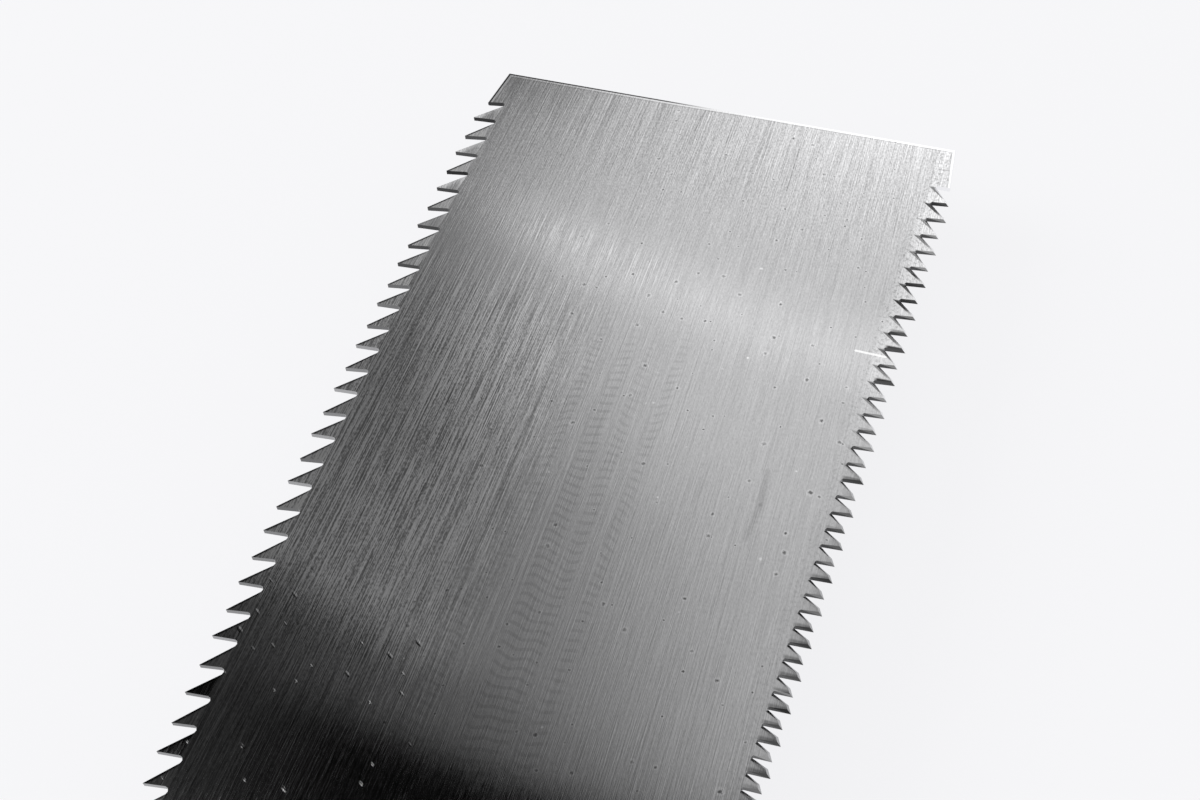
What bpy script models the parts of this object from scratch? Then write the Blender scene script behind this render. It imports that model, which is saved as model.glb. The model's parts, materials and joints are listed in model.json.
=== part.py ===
"""A ryoba: a two-edged pull saw with rip teeth on one side and crosscut teeth on the other.

The saw lies flat. X runs along it with the toe at +X, the rip edge is at +Y and Z is up. The origin
is on the floor under the middle of the saw. All parts hang on one empty in the blade's plane, at the
mouth of the clamp that grips the tang, so x = 0 below means the mouth of the clamp.
"""
import math

import bmesh
import bpy
from mathutils import Matrix, Vector
from mathutils.geometry import interpolate_bezier

MM = 0.001

# Clearance between neighbouring pieces
FIT = 0.25 * MM

# Fineness of rounded shapes
WELD = 0.001 * MM
SHARP_ANGLE = math.radians(35)
ARC_STEPS = 4  # in a quarter turn
HOLE_POINTS = 20
SMALL_HOLE_POINTS = 12
TURNED_STEPS = 24
HANDLE_STEPS = 36

# Blade plate
TOE_WIDTH = 65.2 * MM  # over the tooth points
HEEL_WIDTH = 45.4 * MM  # over the tooth points
TOOTHED_LENGTH = 180.0 * MM
RIP_BOW = 1.8 * MM  # the rip edge bows out by this much at half length
TOE_SKEW = 1.3 * MM  # the rip corner stands this much ahead of the other
PLATE = 0.6 * MM
RIP_LAND = 6.05 * MM  # plain edge at the toe, rip side
CROSSCUT_LAND = 8.0 * MM  # plain edge at the toe, crosscut side
LAND_RELIEF = 0.75 * MM  # plain edges lie this far inside the tooth line
CORNER_RELIEF = 0.8 * MM  # and this much more at the toe corners
HEEL_LAND = 5.0 * MM
SHOULDER_LENGTH = 38.0 * MM
SHOULDER_POINTS = 12
SHOULDER_STEEP = (0.125, 0.75)  # first handle of the shoulder's curve, shares of its length and drop
SHOULDER_LEVEL = 0.67  # second handle, share of its length
NECK_WIDTH = 23.0 * MM
TANG_WIDTH = 17.0 * MM
TANG_LENGTH = 37.0 * MM
EDGE_BREAK = 0.12 * MM  # chamfer on the toe

# Rip teeth: hooked, filed straight across, with round gullets
RIP_PITCH_TOE = 3.67 * MM
RIP_PITCH_HEEL = 2.78 * MM
RIP_DEPTH = 0.885  # share of the pitch, so it lessens towards the heel
RIP_HOOK = 0.3 * MM  # the front runs back towards the toe by this much
RIP_GULLET = 0.42 * MM
RIP_GULLET_FROM = math.radians(180)
RIP_GULLET_TO = math.radians(50)
RIP_GULLET_POINTS = 4
RIP_SET = 0.13 * MM

# Crosscut teeth: three edges, ground from both faces, graded from coarse at the toe to fine at the heel
CROSSCUT_PITCH_TOE = 3.22 * MM
CROSSCUT_PITCH_HEEL = 1.6 * MM
CROSSCUT_GRADED = 93.0 * MM
CROSSCUT_BOW = 0.2 * MM  # this edge bows out a little too
CROSSCUT_DEPTH_TOE = 2.55 * MM
CROSSCUT_DEPTH_HEEL = 1.9 * MM
CROSSCUT_STEP = 0.32 * MM  # every other tooth stands lower
CROSSCUT_HOOK = 0.06 * MM
CROSSCUT_TOP_RUN = 0.88 * MM  # top facet, along the edge
CROSSCUT_TOP_DROP = 0.5 * MM  # top facet, into the plate
CROSSCUT_GULLET = 0.1 * MM  # radius
CROSSCUT_BEVEL = 0.26 * MM  # width of the ground flanks at the point
CROSSCUT_ROOT_BEVEL = 0.4 * MM  # and on the back at the gullet
CROSSCUT_SET = 0.03 * MM

# Clamp
CHEEK = 1.5 * MM
TANG_ROOM = 3.0 * MM  # behind the seated tang
CLAMP_CORNER = 4.0 * MM
SPACER_WIDTH = 4.0 * MM
TAIL_WIDTH = 16.0 * MM
TAIL_LENGTH = 55.0 * MM
TAIL_CORNER = 3.0 * MM
RIVET_DIAMETER = 2.0 * MM
RIVET_HEAD_DIAMETER = 3.8 * MM
RIVET_HEAD = 1.0 * MM
RIVET_INSET = 7.0 * MM  # from each end of the clamp

# Lock screw, washer and nut
SCREW_INSET = 16.5 * MM  # behind the mouth of the clamp
SCREW_DIAMETER = 5.0 * MM
SCREW_HEAD_DIAMETER = 11.5 * MM
SCREW_HEAD = 4.6 * MM
SCREW_FLUTES = 20
FLUTE_POINTS = 3
SCREW_FLUTE_DEPTH = 0.4 * MM
SCREW_CROWN = 0.7 * MM
COIN_SLOT_WIDTH = 1.6 * MM
COIN_SLOT_DEPTH = 1.5 * MM
WASHER_DIAMETER = 12.5 * MM
WASHER = 0.8 * MM
NUT_ACROSS_FLATS = 8.0 * MM
NUT = 3.0 * MM
SCREW_PAST_NUT = 0.9 * MM

# Handle: oval, turned to a round profile and flattened
OVAL = 0.8  # height over width
GRIP_RADIUS = 14.0 * MM
GRIP_LENGTH = 180.0 * MM
REAR_LENGTH = 50.0 * MM
REAR_RADIUS = 16.4 * MM
BUTT_RADIUS = 18.0 * MM
BUTT_ROUND = 2.0 * MM
FLARE_POINTS = 8
PIN_DIAMETER = 3.5 * MM
PIN_RECESS = 0.6 * MM
PIN_INSET = 14.0 * MM  # from each end of the clamp's tail

# Ferrule, collar and butt cap
FERRULE_NOSE = 6.0 * MM
FERRULE_SKIRT = 8.0 * MM
COLLAR_LENGTH = 8.0 * MM
COLLAR_WALL = 1.0 * MM
COLLAR_ROUND = 0.5 * MM
CAP = 4.0 * MM
CAP_ROUND = 1.4 * MM
CAP_STEP = 0.6 * MM  # the cap's edge lies this far inside the butt's
SPIGOT_RADIUS = 5.0 * MM
SPIGOT_LENGTH = 8.0 * MM

# Cane binding
CANE = 1.1 * MM
CANE_GAP = 0.5 * MM
CANE_LOOPS = 24
CANE_LOOP_POINTS = 24
CANE_CROWN = 0.35 * MM

# Derived places along the saw, from the mouth of the clamp
NECK_X = FIT
CLAMP_LENGTH = TANG_LENGTH + TANG_ROOM
HEEL_X = NECK_X + SHOULDER_LENGTH
TOE_X = HEEL_X + HEEL_LAND + TOOTHED_LENGTH
SCREW_X = -SCREW_INSET
HANDLE_X = -(CLAMP_LENGTH + FIT)
TAIL_X = -(CLAMP_LENGTH + TAIL_LENGTH)
GRIP_X = HANDLE_X - FERRULE_NOSE
REAR_X = GRIP_X - GRIP_LENGTH
BUTT_X = REAR_X - REAR_LENGTH
CAP_X = BUTT_X - FIT - CAP

# Derived sizes
CHEEK_INNER = PLATE / 2 + FIT
CHEEK_OUTER = CHEEK_INNER + CHEEK
SPACER_Y = TANG_WIDTH / 2 + FIT
CLAMP_WIDTH = 2 * (SPACER_Y + SPACER_WIDTH)
WASHER_TOP = CHEEK_OUTER + FIT + WASHER
HEAD_BOTTOM = WASHER_TOP + FIT
NUT_BOTTOM = CHEEK_OUTER + FIT + NUT
CANE_INNER = GRIP_RADIUS + FIT
CANE_OUTER = CANE_INNER + CANE
SKIRT_INNER = CANE_OUTER + FIT
COLLAR_OUTER = SKIRT_INNER + COLLAR_WALL
CANE_PITCH = (GRIP_LENGTH - 2 * FIT + CANE_GAP) / (CANE_LOOPS + 1)
CANE_WIDTH = CANE_PITCH - CANE_GAP
BLADE_HEIGHT = OVAL * max(BUTT_RADIUS, COLLAR_OUTER)
MOUTH_X = -(TOE_X + TOE_SKEW / 2 + CAP_X) / 2

NONE = Vector((0.0, 0.0, 0.0))


def clear_scene():
    for old in list(bpy.data.objects):
        bpy.data.objects.remove(old, do_unlink=True)


def collection(name):
    made = bpy.data.collections.new(name)
    bpy.context.scene.collection.children.link(made)
    return made


def material(name, colour, roughness, metallic):
    made = bpy.data.materials.new(name)
    made.use_nodes = True
    shader = made.node_tree.nodes["Principled BSDF"]
    shader.inputs["Base Color"].default_value = (*colour, 1.0)
    shader.inputs["Roughness"].default_value = roughness
    shader.inputs["Metallic"].default_value = metallic
    return made


def place(name, mesh, finish, where=(0.0, 0.0, 0.0), smooth=False):
    """One named part on the saw's empty."""
    mesh.name = name
    mesh.materials.clear()
    mesh.materials.append(finish)
    if smooth:
        mesh.shade_smooth()
        mesh.set_sharp_from_angle(angle=SHARP_ANGLE)
    part = bpy.data.objects.new(name, mesh)
    part.location = where
    part.parent = SAW
    PARTS.objects.link(part)
    return part


def cutter(name, mesh):
    tool = bpy.data.objects.new(name, mesh)
    tool.parent = SAW
    tool.hide_render = True
    tool.display_type = 'WIRE'
    CUTTERS.objects.link(tool)
    return tool


def cut(part, tool, operation='DIFFERENCE'):
    change = part.modifiers.new(tool.name, 'BOOLEAN')
    change.operation = operation
    change.object = tool


def finished_mesh(bm, name):
    """Closes the books on a bmesh: merged seams, faces outwards."""
    bmesh.ops.remove_doubles(bm, verts=bm.verts, dist=WELD)
    bmesh.ops.recalc_face_normals(bm, faces=bm.faces)
    mesh = bpy.data.meshes.new(name)
    bm.to_mesh(mesh)
    bm.free()
    return mesh


def evaluated_mesh(source, move=Matrix()):
    """The mesh of an object with its curve or modifiers worked out; the object is then removed."""
    bpy.context.scene.collection.objects.link(source)
    bpy.context.view_layer.update()
    seen = source.evaluated_get(bpy.context.evaluated_depsgraph_get())
    mesh = bpy.data.meshes.new_from_object(seen)
    bpy.data.objects.remove(source, do_unlink=True)
    bm = bmesh.new()
    bm.from_mesh(mesh)
    bmesh.ops.remove_doubles(bm, verts=bm.verts, dist=WELD)
    bmesh.ops.holes_fill(bm, edges=[edge for edge in bm.edges if edge.is_boundary])
    bmesh.ops.transform(bm, matrix=move, verts=bm.verts)
    bpy.data.meshes.remove(mesh)
    return finished_mesh(bm, "solid")


def flat_plate(loops, bottom, top):
    """A flat piece from closed outlines, the inner ones being holes, between two heights."""
    curve = bpy.data.curves.new("outline", 'CURVE')
    curve.dimensions = '2D'
    curve.fill_mode = 'BOTH'
    curve.extrude = (top - bottom) / 2
    for loop in loops:
        spline = curve.splines.new('POLY')
        spline.points.add(len(loop) - 1)
        spline.use_cyclic_u = True
        for point, (x, y) in zip(spline.points, loop):
            point.co = (x, y, 0.0, 1.0)
    lift = Matrix.Translation((0.0, 0.0, (top + bottom) / 2))
    return evaluated_mesh(bpy.data.objects.new("outline", curve), lift)


def circle(x, y, radius, points=HOLE_POINTS):
    turn = 2 * math.pi / points
    return [(x + radius * math.cos(turn * k), y + radius * math.sin(turn * k)) for k in range(points)]


def rounded(corners, steps=ARC_STEPS):
    """An outline with each (x, y, radius) corner turned into an arc."""
    outline = []
    for k, (x, y, radius) in enumerate(corners):
        here = Vector((x, y))
        before = (Vector(corners[k - 1][:2]) - here).normalized()
        after = (Vector(corners[(k + 1) % len(corners)][:2]) - here).normalized()
        if radius == 0:
            outline.append((x, y))
            continue
        half = before.angle(after) / 2
        centre = here + (before + after).normalized() * (radius / math.sin(half))
        start = here + before * (radius / math.tan(half)) - centre
        end = here + after * (radius / math.tan(half)) - centre
        sweep = start.angle_signed(end)
        for step in range(steps + 1):
            spoke = start.copy()
            spoke.rotate(Matrix.Rotation(-sweep * step / steps, 2))
            outline.append(tuple(centre + spoke))
    return outline


def turned(profile, steps, closed=False, rise=0.0, loops=1, move=Matrix()):
    """A profile of (radius, height) points spun round Z; with a rise it becomes a helix."""
    mesh = bpy.data.meshes.new("profile")
    count = len(profile)
    edges = [(k, k + 1) for k in range(count - 1)]
    if closed:
        edges.append((count - 1, 0))
    mesh.from_pydata([(radius, 0.0, height) for radius, height in profile], edges, [])
    source = bpy.data.objects.new("profile", mesh)
    spin = source.modifiers.new("spin", 'SCREW')
    spin.axis = 'Z'
    spin.steps = steps
    spin.render_steps = steps
    spin.screw_offset = rise
    spin.iterations = loops
    spin.use_merge_vertices = rise == 0.0
    spin.merge_threshold = WELD
    return evaluated_mesh(source, move)


def along_handle():
    """Turns a shape made along +Z to run back along the handle, flattened to the oval."""
    return Matrix.Diagonal((1.0, 1.0, OVAL, 1.0)) @ Matrix.Rotation(-math.pi / 2, 4, 'Y')


def box(low, high):
    bm = bmesh.new()
    bmesh.ops.create_cube(bm, size=1.0)
    low, high = Vector(low), Vector(high)
    size = high - low
    bmesh.ops.scale(bm, vec=size, verts=bm.verts)
    bmesh.ops.translate(bm, vec=(low + high) / 2, verts=bm.verts)
    return finished_mesh(bm, "box")


def rod(x, y, radius, low, high, sides=HOLE_POINTS):
    bm = bmesh.new()
    bmesh.ops.create_cone(bm, cap_ends=True, segments=sides, radius1=radius, radius2=radius,
                          depth=high - low)
    bmesh.ops.translate(bm, vec=(x, y, (low + high) / 2), verts=bm.verts)
    return finished_mesh(bm, "rod")


class Plate:
    """The blade's outline while it is drawn: its points, its tooth faces, their set and grinding."""

    def __init__(self):
        self.bm = bmesh.new()
        self.shifts = {}
        self.ground = []

    def point(self, x, y, shift=NONE):
        vert = self.bm.verts.new((x, y, 0.0))
        self.shifts[vert] = shift
        return vert

    def face(self, verts):
        self.bm.faces.new(verts)

    def ground_face(self, verts, middles):
        """A tooth face whose points, all but the last, are ground back to leave an edge at the middles."""
        self.face(verts)
        self.ground.append((verts, middles))

    def solid(self, thickness):
        """Gives the outline its thickness, then sets the teeth and grinds them from both faces."""
        bm = self.bm
        bmesh.ops.extrude_face_region(bm, geom=bm.faces[:])
        rises = {}
        for edge in bm.edges:
            if edge.calc_length() == 0.0:
                low = edge.verts[0] if edge.verts[0] in self.shifts else edge.verts[1]
                rises[low] = edge
        above = {low: edge.other_vert(low) for low, edge in rises.items()}
        for low, shift in self.shifts.items():
            above[low].co += shift + Vector((0.0, 0.0, thickness / 2))
            low.co += shift - Vector((0.0, 0.0, thickness / 2))
        for (*points, front), middles in self.ground:
            keen = []
            for low, middle in zip(points, middles):
                vert = bmesh.utils.edge_split(rises[low], low, 0.5)[1]
                vert.co = middle
                keen.append(vert)
            for pair in [*zip(keen, keen[1:]), (above[front], keen[-1]), (front, keen[-1])]:
                bmesh.ops.connect_verts(bm, verts=list(pair))
        return bm


def half_width(along, bow):
    """From the blade's middle to the tooth points, at a distance from the toe."""
    taper = (TOE_WIDTH - HEEL_WIDTH) / (2 * TOOTHED_LENGTH)
    bulge = 4 * bow * along * (TOOTHED_LENGTH - along) / TOOTHED_LENGTH ** 2
    return TOE_WIDTH / 2 - taper * along + bulge


def rip_spot(along, depth):
    return Vector((TOE_X - along, half_width(along, RIP_BOW) - depth))


def crosscut_spot(along, depth):
    return Vector((TOE_X - along, depth - half_width(along, CROSSCUT_BOW)))


def tooth_places(land, pitch_at):
    """Tooth points from the toe land to the heel, with room for a whole gullet after the last."""
    places = []
    along = land + pitch_at(land)
    while along + pitch_at(along) < TOOTHED_LENGTH:
        places.append(along)
        along += pitch_at(along)
    return places


def rip_pitch(along):
    return RIP_PITCH_TOE + (RIP_PITCH_HEEL - RIP_PITCH_TOE) * along / TOOTHED_LENGTH


def crosscut_pitch(along):
    share = min(1.0, along / CROSSCUT_GRADED)
    return CROSSCUT_PITCH_TOE + (CROSSCUT_PITCH_HEEL - CROSSCUT_PITCH_TOE) * share


def rip_gullet(plate, along):
    """The round gullet behind the tooth whose point is at this place, from its front to the next back."""
    centre = along - RIP_HOOK + RIP_GULLET
    verts = []
    for k in range(RIP_GULLET_POINTS):
        angle = RIP_GULLET_FROM + (RIP_GULLET_TO - RIP_GULLET_FROM) * k / (RIP_GULLET_POINTS - 1)
        spot = rip_spot(centre + RIP_GULLET * math.cos(angle),
                        RIP_DEPTH * rip_pitch(along) - RIP_GULLET + RIP_GULLET * math.sin(angle))
        verts.append(plate.point(*spot))
    return verts


def rip_edge(plate):
    """The rip edge from the toe corner to the heel land, as points of the body's outline."""
    body = [plate.point(*rip_spot(-TOE_SKEW / 2, LAND_RELIEF + CORNER_RELIEF)),
            plate.point(*rip_spot(RIP_LAND, LAND_RELIEF))]
    body += rip_gullet(plate, RIP_LAND)
    for number, along in enumerate(tooth_places(RIP_LAND, rip_pitch)):
        lean = Vector((0.0, 0.0, -RIP_SET if number % 2 else RIP_SET))
        tip = plate.point(*rip_spot(along, 0.0), lean)
        gullet = rip_gullet(plate, along)
        plate.face([body[-1], tip, gullet[0]])
        body += gullet
    body.append(plate.point(*rip_spot(TOOTHED_LENGTH, LAND_RELIEF)))
    body.append(plate.point(*rip_spot(TOOTHED_LENGTH + HEEL_LAND, LAND_RELIEF)))
    return body


def filed_in(corner, one, other, bevel):
    """How far a corner moves when the two edges that meet there are filed back by the bevel."""
    first, second = (one - corner).normalized(), (other - corner).normalized()
    inset = (first + second) * (bevel / math.sin(first.angle(second)))
    return Vector((inset.x, inset.y, 0.0))


def crosscut_gullet(plate, along):
    """The small round gullet in front of the tooth whose point is at this place."""
    centre = along - CROSSCUT_HOOK + CROSSCUT_GULLET
    depth = CROSSCUT_DEPTH_TOE + (CROSSCUT_DEPTH_HEEL - CROSSCUT_DEPTH_TOE) * along / TOOTHED_LENGTH
    verts = []
    for turn in (math.pi, math.pi / 2, 0.0):
        spot = crosscut_spot(centre + CROSSCUT_GULLET * math.cos(turn),
                             depth - CROSSCUT_GULLET * (1 - math.sin(turn)))
        verts.append(plate.point(*spot))
    return verts


def crosscut_edge(plate):
    """The crosscut edge from the toe corner to the heel land, every other tooth a little lower."""
    body = [plate.point(*crosscut_spot(TOE_SKEW / 2, LAND_RELIEF + CORNER_RELIEF)),
            plate.point(*crosscut_spot(CROSSCUT_LAND, LAND_RELIEF))]
    body += crosscut_gullet(plate, CROSSCUT_LAND)
    for number, along in enumerate(tooth_places(CROSSCUT_LAND, crosscut_pitch)):
        low = number % 2 == 0
        drop = CROSSCUT_STEP if low else 0.0
        tip = crosscut_spot(along, drop)
        shoulder = crosscut_spot(along - CROSSCUT_TOP_RUN, drop + CROSSCUT_TOP_DROP)
        gullet = crosscut_gullet(plate, along)
        lean = Vector((0.0, 0.0, -CROSSCUT_SET if low else CROSSCUT_SET))
        root = body[-1]
        back = (shoulder - root.co.xy).normalized()
        plate.shifts[root] = Vector((back.y, -back.x, 0.0)) * CROSSCUT_ROOT_BEVEL
        at_shoulder = filed_in(shoulder, tip, root.co.xy, CROSSCUT_BEVEL) + lean
        at_tip = filed_in(tip, gullet[0].co.xy, shoulder, CROSSCUT_BEVEL) + lean
        ends = [plate.point(*shoulder, at_shoulder), plate.point(*tip, at_tip)]
        middles = [root.co.copy(), shoulder.to_3d() + lean, tip.to_3d() + lean]
        plate.ground_face([root, *ends, gullet[0]], middles)
        body += gullet
    body.append(plate.point(*crosscut_spot(TOOTHED_LENGTH, LAND_RELIEF)))
    body.append(plate.point(*crosscut_spot(TOOTHED_LENGTH + HEEL_LAND, LAND_RELIEF)))
    return body


def shoulder_curve(heel, side):
    """The hollow shoulder from the end of the heel land down to the neck."""
    neck = Vector((NECK_X, side * NECK_WIDTH / 2, 0.0))
    start = Vector((heel.x, heel.y, 0.0))
    drop = neck.y - start.y
    steep = start + Vector((-SHOULDER_LENGTH * SHOULDER_STEEP[0], drop * SHOULDER_STEEP[1], 0.0))
    level = neck + Vector((SHOULDER_LENGTH * SHOULDER_LEVEL, 0.0, 0.0))
    return interpolate_bezier(start, steep, level, neck, SHOULDER_POINTS)[1:]


def tang_outline():
    """The tang with its screw slot open to the rear, from the rip side to the crosscut side."""
    half, rear, slot = TANG_WIDTH / 2, -TANG_LENGTH, SCREW_DIAMETER / 2 + FIT
    points = [(NECK_X, half), (rear, half), (rear, slot)]
    for k in range(2 * ARC_STEPS + 1):
        angle = math.pi / 2 * (1 - k / ARC_STEPS)
        points.append((SCREW_X + slot * math.cos(angle), slot * math.sin(angle)))
    return points + [(rear, -slot), (rear, -half), (NECK_X, -half)]


def make_blade():
    plate = Plate()
    rip = rip_edge(plate)
    crosscut = crosscut_edge(plate)
    neck = [plate.point(spot.x, spot.y) for spot in shoulder_curve(rip[-1].co, 1)]
    neck += [plate.point(x, y) for x, y in tang_outline()]
    back = [plate.point(spot.x, spot.y) for spot in shoulder_curve(crosscut[-1].co, -1)]
    plate.face(rip + neck + back[::-1] + crosscut[::-1])
    toe = [rip[1].co.copy(), rip[0].co.copy(), crosscut[0].co.copy(), crosscut[1].co.copy()]
    bm = plate.solid(PLATE)
    ends = [{(round(spot.x, 6), round(spot.y, 6)) for spot in pair} for pair in zip(toe, toe[1:])]
    rim = [edge for edge in bm.edges
           if {(round(vert.co.x, 6), round(vert.co.y, 6)) for vert in edge.verts} in ends]
    bmesh.ops.bevel(bm, geom=rim, offset=EDGE_BREAK, affect='EDGES', segments=1, profile=0.5, material=-1)
    bmesh.ops.triangulate(bm, faces=[face for face in bm.faces if len(face.verts) > 4])
    place("blade", finished_mesh(bm, "blade"), STEEL)


def rivet_spots():
    y = SPACER_Y + SPACER_WIDTH / 2
    return [(x, side * y) for x in (-RIVET_INSET, RIVET_INSET - CLAMP_LENGTH) for side in (1, -1)]


def pin_spots():
    return [-CLAMP_LENGTH - PIN_INSET, TAIL_X + PIN_INSET]


def make_cheeks():
    wide, tail = CLAMP_WIDTH / 2, TAIL_WIDTH / 2
    outline = rounded([(0.0, -wide, CLAMP_CORNER), (0.0, wide, CLAMP_CORNER),
                       (-CLAMP_LENGTH, wide, 0), (-CLAMP_LENGTH, tail, 0),
                       (TAIL_X, tail, TAIL_CORNER), (TAIL_X, -tail, TAIL_CORNER),
                       (-CLAMP_LENGTH, -tail, 0), (-CLAMP_LENGTH, -wide, 0)])
    holes = [circle(SCREW_X, 0.0, SCREW_DIAMETER / 2 + FIT)]
    holes += [circle(x, y, RIVET_DIAMETER / 2 + FIT, SMALL_HOLE_POINTS) for x, y in rivet_spots()]
    holes += [circle(x, 0.0, PIN_DIAMETER / 2 + FIT) for x in pin_spots()]
    loops = [outline] + holes
    place("clamp_cheek_upper", flat_plate(loops, CHEEK_INNER, CHEEK_OUTER), CLAMP_STEEL)
    place("clamp_cheek_lower", flat_plate(loops, -CHEEK_OUTER, -CHEEK_INNER), CLAMP_STEEL)


def make_spacers():
    for name, side in (("clamp_spacer_rip", 1), ("clamp_spacer_crosscut", -1)):
        inner, outer = sorted((side * SPACER_Y, side * (SPACER_Y + SPACER_WIDTH)))
        corner_low = CLAMP_CORNER if side < 0 else 0
        corner_high = CLAMP_CORNER if side > 0 else 0
        outline = rounded([(0.0, inner, min(corner_low, SPACER_WIDTH)),
                           (0.0, outer, min(corner_high, SPACER_WIDTH)),
                           (-CLAMP_LENGTH, outer, 0), (-CLAMP_LENGTH, inner, 0)])
        spots = [(x, y) for x, y in rivet_spots() if y * side > 0]
        holes = [circle(x, y, RIVET_DIAMETER / 2 + FIT, SMALL_HOLE_POINTS) for x, y in spots]
        place(name, flat_plate([outline] + holes, -PLATE / 2, PLATE / 2), CLAMP_STEEL)


def make_rivets():
    seat, head, shank = CHEEK_OUTER + FIT, RIVET_HEAD_DIAMETER / 2, RIVET_DIAMETER / 2
    turns = [math.pi / 2 * k / ARC_STEPS for k in range(ARC_STEPS + 1)]
    dome = [(head * math.sin(turn), seat + RIVET_HEAD * math.cos(turn)) for turn in turns]
    profile = dome + [(shank, seat), (shank, -seat)] + [(radius, -height) for radius, height in dome[::-1]]
    for number, (x, y) in enumerate(rivet_spots(), 1):
        place(f"clamp_rivet_{number}", turned(profile, TURNED_STEPS), CLAMP_STEEL, (x, y, 0.0), smooth=True)


def fluted_circle(radius, depth, flutes):
    """A round outline with grip flutes: one point of each flute is low."""
    outline = []
    for k in range(FLUTE_POINTS * flutes):
        angle = 2 * math.pi * k / (FLUTE_POINTS * flutes)
        reach = radius - depth if k % FLUTE_POINTS == 0 else radius
        outline.append((reach * math.cos(angle), reach * math.sin(angle)))
    return outline


def make_lock_screw():
    shank, head = SCREW_DIAMETER / 2, SCREW_HEAD_DIAMETER / 2
    top = HEAD_BOTTOM + SCREW_HEAD
    boss = head - SCREW_FLUTE_DEPTH - SCREW_CROWN
    end = -(NUT_BOTTOM + SCREW_PAST_NUT)
    core = [(0.0, top), (boss, top), (boss + SCREW_CROWN / 2, top - SCREW_CROWN), (boss, HEAD_BOTTOM),
            (shank, HEAD_BOTTOM), (shank, end + SCREW_CROWN), (shank - SCREW_CROWN, end), (0.0, end)]
    screw = place("lock_screw", turned(core, TURNED_STEPS), SCREW_STEEL, (SCREW_X, 0.0, 0.0), smooth=True)
    grip = flat_plate([fluted_circle(head, SCREW_FLUTE_DEPTH, SCREW_FLUTES)],
                      HEAD_BOTTOM + SCREW_CROWN / 2, top - SCREW_CROWN)
    rim = cutter("lock_screw_grip", grip)
    rim.location.x = SCREW_X
    cut(screw, rim, 'UNION')
    slot = cutter("coin_slot", box((-head - FIT, -COIN_SLOT_WIDTH / 2, top - COIN_SLOT_DEPTH),
                                   (head + FIT, COIN_SLOT_WIDTH / 2, top + FIT)))
    slot.location.x = SCREW_X
    cut(screw, slot)


def make_washer_and_nut():
    hole = circle(0.0, 0.0, SCREW_DIAMETER / 2 + FIT)
    rim = circle(0.0, 0.0, WASHER_DIAMETER / 2, HANDLE_STEPS)
    washer = flat_plate([rim, hole], CHEEK_OUTER + FIT, WASHER_TOP)
    place("lock_washer", washer, SCREW_STEEL, (SCREW_X, 0.0, 0.0), smooth=True)
    across_corners = NUT_ACROSS_FLATS / math.cos(math.pi / 6)
    nut = flat_plate([circle(0.0, 0.0, across_corners / 2, 6), hole], -NUT_BOTTOM, -CHEEK_OUTER - FIT)
    place("lock_nut", nut, SCREW_STEEL, (SCREW_X, 0.0, 0.0))


def core_profile():
    """Radius against distance back from the front of the handle: grip seat, step, swelling butt."""
    front, step, end = -HANDLE_X, -REAR_X, -BUTT_X
    profile = [(0.0, front), (GRIP_RADIUS, front), (GRIP_RADIUS, step)]
    for k in range(FLARE_POINTS + 1):
        share = k / FLARE_POINTS
        swell = (1 - math.cos(math.pi * share)) / 2
        profile.append((REAR_RADIUS + (BUTT_RADIUS - REAR_RADIUS) * swell,
                        step + (end - BUTT_ROUND - step) * share))
    for k in range(1, ARC_STEPS + 1):
        angle = math.pi / 2 * k / ARC_STEPS
        profile.append((BUTT_RADIUS - BUTT_ROUND * (1 - math.cos(angle)),
                        end - BUTT_ROUND * (1 - math.sin(angle))))
    return profile + [(0.0, end)]


def make_handle_core():
    """Two wooden halves glued in the blade's plane, hollowed for the clamp's tail and the cap's spigot."""
    pocket = cutter("tail_pocket", box((TAIL_X - FIT, -TAIL_WIDTH / 2 - FIT, -CHEEK_OUTER - FIT),
                                       (HANDLE_X + FIT, TAIL_WIDTH / 2 + FIT, CHEEK_OUTER + FIT)))
    socket = cutter("spigot_socket", turned([(0.0, -BUTT_X - SPIGOT_LENGTH - FIT),
                                             (SPIGOT_RADIUS + FIT, -BUTT_X - SPIGOT_LENGTH - FIT),
                                             (SPIGOT_RADIUS + FIT, -CAP_X), (0.0, -CAP_X)],
                                            HANDLE_STEPS, move=along_handle()))
    reach = BUTT_RADIUS + FIT
    bores = [cutter(f"pin_bore_{number}", rod(x, 0.0, PIN_DIAMETER / 2 + FIT, -reach, reach))
             for number, x in enumerate(pin_spots(), 1)]
    for name, side in (("handle_core_upper", 1), ("handle_core_lower", -1)):
        core = place(name, turned(core_profile(), HANDLE_STEPS, move=along_handle()), WOOD, smooth=True)
        low, high = sorted((-side * reach, side * FIT / 2))
        other_half = cutter(name + "_split", box((CAP_X, -reach, low), (0.0, reach, high)))
        for tool in (other_half, pocket, socket, *bores):
            cut(core, tool)


def make_handle_pins():
    reach = OVAL * GRIP_RADIUS - PIN_RECESS
    for name, x in zip(("handle_pin_front", "handle_pin_rear"), pin_spots()):
        place(name, rod(x, 0.0, PIN_DIAMETER / 2, -reach, reach), SCREW_STEEL, smooth=True)


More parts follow.
